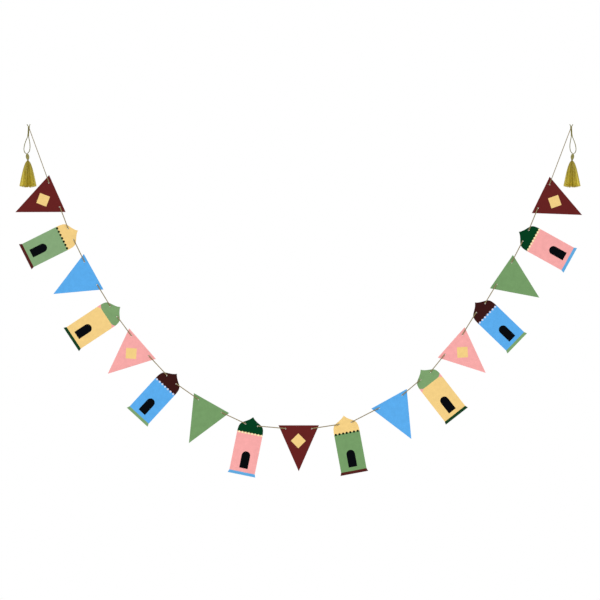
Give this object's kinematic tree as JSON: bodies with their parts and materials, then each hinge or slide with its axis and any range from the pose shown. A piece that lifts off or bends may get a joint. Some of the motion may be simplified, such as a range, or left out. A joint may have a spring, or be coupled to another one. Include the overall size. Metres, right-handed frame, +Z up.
{
  "type": "paper bunting garland",
  "caption": "Paper bunting garland: die-cut pennant and domed tower cards in plain printed colours, threaded on natural twine that hangs in a slack curve between two gold tassels.",
  "frame": {"origin": "between the two tails of the left tie, level with their tips, where the garland is held", "axes": "+X to the same place on the right tie, +Z up, the printed fronts of the flags face -Y"},
  "size_m": [1.9701, 0.0576, 1.2286],
  "materials": {
    "maroon_pennant_card": "matte",
    "green_tower_card": "matte",
    "blue_pennant_card": "matte",
    "yellow_tower_card": "matte",
    "pink_pennant_card": "matte",
    "blue_tower_card": "matte",
    "green_pennant_card": "matte",
    "pink_tower_card": "matte",
    "twine": "matte",
    "gold_cord": "satin",
    "gold_winding": "satin",
    "tassel_threads": "satin"
  },
  "bodies": {
    "root": {"flag_01_maroon_pennant": "maroon_pennant_card", "flag_02_green_tower": "green_tower_card", "flag_03_blue_pennant": "blue_pennant_card", "flag_04_yellow_tower": "yellow_tower_card", "flag_05_pink_pennant": "pink_pennant_card", "flag_06_blue_tower": "blue_tower_card", "flag_07_green_pennant": "green_pennant_card", "flag_08_pink_tower": "pink_tower_card", "flag_09_maroon_pennant": "maroon_pennant_card", "flag_10_green_tower": "green_tower_card", "flag_11_blue_pennant": "blue_pennant_card", "flag_12_yellow_tower": "yellow_tower_card", "flag_13_pink_pennant": "pink_pennant_card", "flag_14_blue_tower": "blue_tower_card", "flag_15_green_pennant": "green_pennant_card", "flag_16_pink_tower": "pink_tower_card", "flag_17_maroon_pennant": "maroon_pennant_card", "left_loop_binding": "gold_winding", "left_neck_binding": "gold_winding", "left_tassel_cord": "gold_cord", "left_tassel_knob": "gold_winding", "left_tassel_skirt": "tassel_threads", "left_twine_binding": "gold_winding", "right_loop_binding": "gold_winding", "right_neck_binding": "gold_winding", "right_tassel_cord": "gold_cord", "right_tassel_knob": "gold_winding", "right_tassel_skirt": "tassel_threads", "right_twine_binding": "gold_winding", "twine": "twine"}
  },
  "joints": []
}
